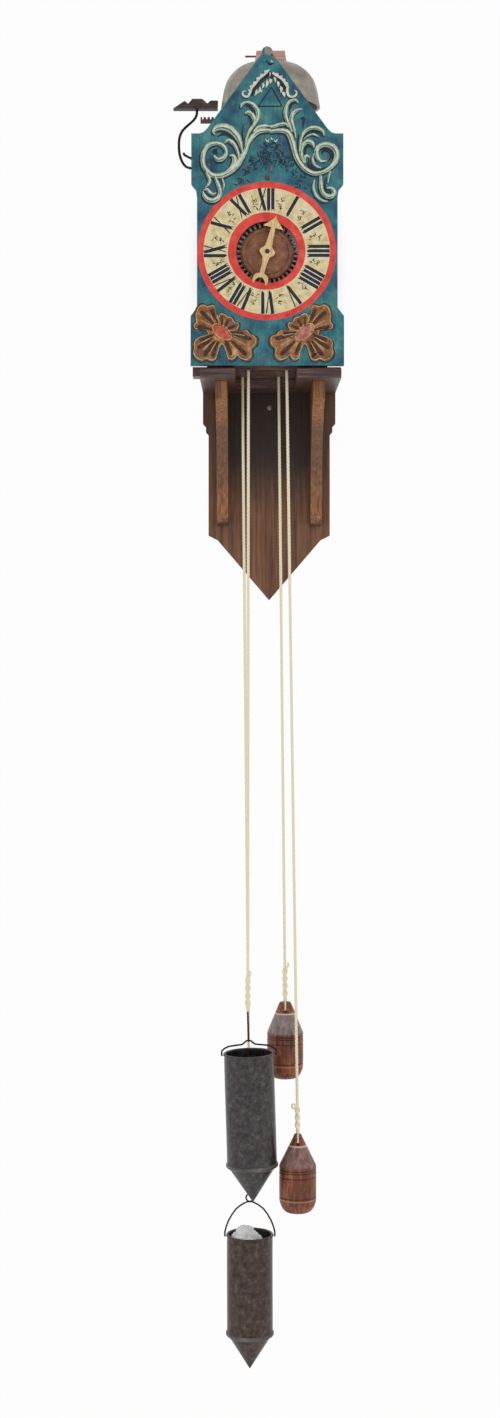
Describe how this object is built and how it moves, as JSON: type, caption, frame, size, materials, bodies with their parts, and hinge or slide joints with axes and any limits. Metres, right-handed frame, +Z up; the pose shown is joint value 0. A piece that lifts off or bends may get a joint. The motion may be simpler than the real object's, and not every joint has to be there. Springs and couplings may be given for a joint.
{
  "type": "wooden wheel clock",
  "caption": "Wall clock with wooden wheels, verge and foliot, painted gabled dial with a single hand, bell and hammer, on a bracket shelf with rope-hung weights.",
  "frame": {"origin": "on the wall, in the middle of the rear face of the bracket's back board", "axes": "+Y into the wall, +Z up, +X to the right as seen from the front"},
  "size_m": [0.2167, 0.222, 1.7105],
  "materials": {
    "dark_oak": "waxed dark",
    "aged_beech": "bare aged",
    "blue_paint": "painted blue, worn",
    "wheel_wood": "turned and cut",
    "boxwood": "polished",
    "forged_iron": "blackened",
    "bell_bronze": "dull cast",
    "blackened_tin": "blackened sheet",
    "cotton_rope": "twisted",
    "lead_grey": "dull",
    "turned_weight": "turned and stained",
    "white_fill": "chalky"
  },
  "bodies": {
    "frame": {"back_board": "dark_oak", "shelf": "dark_oak", "bracket_left": "dark_oak", "bracket_right": "dark_oak", "base_board": "aged_beech", "top_board": "aged_beech", "post_front_left": "aged_beech", "post_front_right": "aged_beech", "post_rear_left": "aged_beech", "post_rear_right": "aged_beech", "front_bar": "aged_beech", "middle_bar": "aged_beech", "rear_bar": "aged_beech", "upper_batten": "aged_beech", "lower_batten": "aged_beech", "dial_plate": "blue_paint", "plate_peg": "wheel_wood", "bell_post": "aged_beech", "bell": "bell_bronze", "bell_block": "aged_beech", "bell_pin": "aged_beech", "stop_spring": "forged_iron", "rope_front_canister": "cotton_rope", "rope_front_counterweight": "cotton_rope", "rope_rear_canister": "cotton_rope", "rope_rear_counterweight": "cotton_rope", "rope_front_turn": "cotton_rope", "rope_rear_turn": "cotton_rope"},
    "hour": {"hour_wheel": "wheel_wood", "hour_disc": "wheel_wood", "hour_arbor": "forged_iron", "hand": "boxwood"},
    "going_great": {"going_great_wheel": "wheel_wood", "going_great_arbor": "wheel_wood"},
    "front_pulley_body": {"front_pulley": "wheel_wood"},
    "going_second": {"going_second_wheel": "wheel_wood", "going_second_arbor": "wheel_wood"},
    "crown": {"crown_wheel": "wheel_wood", "crown_arbor": "wheel_wood"},
    "verge": {"verge_staff": "forged_iron", "foliot_bar": "forged_iron", "foliot_weight_left": "lead_grey", "foliot_weight_right": "lead_grey"},
    "strike_great": {"strike_great_wheel": "wheel_wood", "strike_great_arbor": "wheel_wood"},
    "rear_pulley_body": {"rear_pulley": "wheel_wood"},
    "strike_second": {"strike_second_wheel": "wheel_wood", "strike_second_arbor": "wheel_wood"},
    "fly": {"fly_vane": "wheel_wood", "fly_arbor": "wheel_wood"},
    "count": {"count_wheel": "wheel_wood"},
    "hammer": {"hammer_arbor": "forged_iron", "hammer_head": "forged_iron"},
    "canister_front_body": {"canister_front": "blackened_tin", "bail_front": "forged_iron"},
    "counterweight_front_body": {"counterweight_front": "turned_weight"},
    "canister_rear_body": {"canister_rear": "blackened_tin", "bail_rear": "forged_iron", "shot_fill": "white_fill"},
    "counterweight_rear_body": {"counterweight_rear": "turned_weight"}
  },
  "joints": [
    {"name": "going_second_spin", "type": "hinge", "parent": "frame", "child": "going_second", "pos_m": [-0.004, -0.157, 0.28374], "axis": [0, 1, 0], "continuous": true},
    {"name": "going_great_spin", "type": "hinge", "parent": "frame", "child": "going_great", "pos_m": [-0.004, -0.157, 0.22152], "axis": [0, 1, 0], "continuous": true},
    {"name": "hour_spin", "type": "hinge", "parent": "frame", "child": "hour", "pos_m": [-0.004, -0.199, 0.2641], "axis": [0, 1, 0], "continuous": true},
    {"name": "crown_spin", "type": "hinge", "parent": "frame", "child": "crown", "pos_m": [-0.0194, -0.16, 0.31377], "axis": [0, 1, 0], "continuous": true},
    {"name": "verge_swing", "type": "hinge", "parent": "frame", "child": "verge", "pos_m": [-0.0194, -0.145, 0.44], "axis": [0, 0, 1], "range_deg": [-30, 30]},
    {"name": "strike_second_spin", "type": "hinge", "parent": "frame", "child": "strike_second", "pos_m": [-0.0128, -0.103, 0.27552], "axis": [0, 1, 0], "continuous": true},
    {"name": "strike_great_spin", "type": "hinge", "parent": "frame", "child": "strike_great", "pos_m": [-0.0128, -0.103, 0.22152], "axis": [0, 1, 0], "continuous": true},
    {"name": "fly_spin", "type": "hinge", "parent": "frame", "child": "fly", "pos_m": [-0.0128, -0.103, 0.30702], "axis": [0, 1, 0], "continuous": true},
    {"name": "count_spin", "type": "hinge", "parent": "frame", "child": "count", "pos_m": [-0.0128, -0.065, 0.27664], "axis": [0, 1, 0], "continuous": true},
    {"name": "hammer_swing", "type": "hinge", "parent": "frame", "child": "hammer", "pos_m": [-0.066, -0.115, 0.3679], "axis": [0, 1, 0], "range_deg": [-9, 2], "stiffness_Nm_per_rad": 0.8, "springref_deg": 1.49},
    {"name": "canister_front_slide", "type": "slide", "parent": "frame", "child": "canister_front_body", "axis": [0, 0, 1], "range_m": [-0.3, 0.3], "deforming": ["rope_front_canister"]},
    {"name": "counterweight_front_slide", "type": "slide", "parent": "frame", "child": "counterweight_front_body", "axis": [0, 0, 1], "range_m": [-0.3, 0.3], "deforming": ["rope_front_counterweight"]},
    {"name": "front_pulley_turn", "type": "hinge", "parent": "frame", "child": "front_pulley_body", "pos_m": [-0.004, -0.17, 0.22152], "axis": [0, 1, 0], "range_deg": [-740, 740]},
    {"name": "canister_rear_slide", "type": "slide", "parent": "frame", "child": "canister_rear_body", "axis": [0, 0, 1], "range_m": [-0.25, 0.08], "deforming": ["rope_rear_canister"]},
    {"name": "counterweight_rear_slide", "type": "slide", "parent": "frame", "child": "counterweight_rear_body", "axis": [0, 0, 1], "range_m": [-0.08, 0.25], "deforming": ["rope_rear_counterweight"]},
    {"name": "rear_pulley_turn", "type": "hinge", "parent": "frame", "child": "rear_pulley_body", "pos_m": [-0.0128, -0.092, 0.22152], "axis": [0, 1, 0], "range_deg": [-620, 200]}
  ],
  "couplings": [
    {"joint": "going_great_spin", "follows": "going_second_spin", "ratio": -0.11111},
    {"joint": "hour_spin", "follows": "going_second_spin", "ratio": 0.018519},
    {"joint": "crown_spin", "follows": "going_second_spin", "ratio": -8},
    {"joint": "strike_great_spin", "follows": "strike_second_spin", "ratio": -0.125},
    {"joint": "fly_spin", "follows": "strike_second_spin", "ratio": -8},
    {"joint": "count_spin", "follows": "strike_second_spin", "ratio": 0.012821},
    {"joint": "counterweight_front_slide", "follows": "canister_front_slide", "ratio": -1},
    {"joint": "front_pulley_turn", "follows": "canister_front_slide", "rad_per_m": 42.553},
    {"joint": "counterweight_rear_slide", "follows": "canister_rear_slide", "ratio": -1},
    {"joint": "rear_pulley_turn", "follows": "canister_rear_slide", "rad_per_m": 42.553}
  ]
}
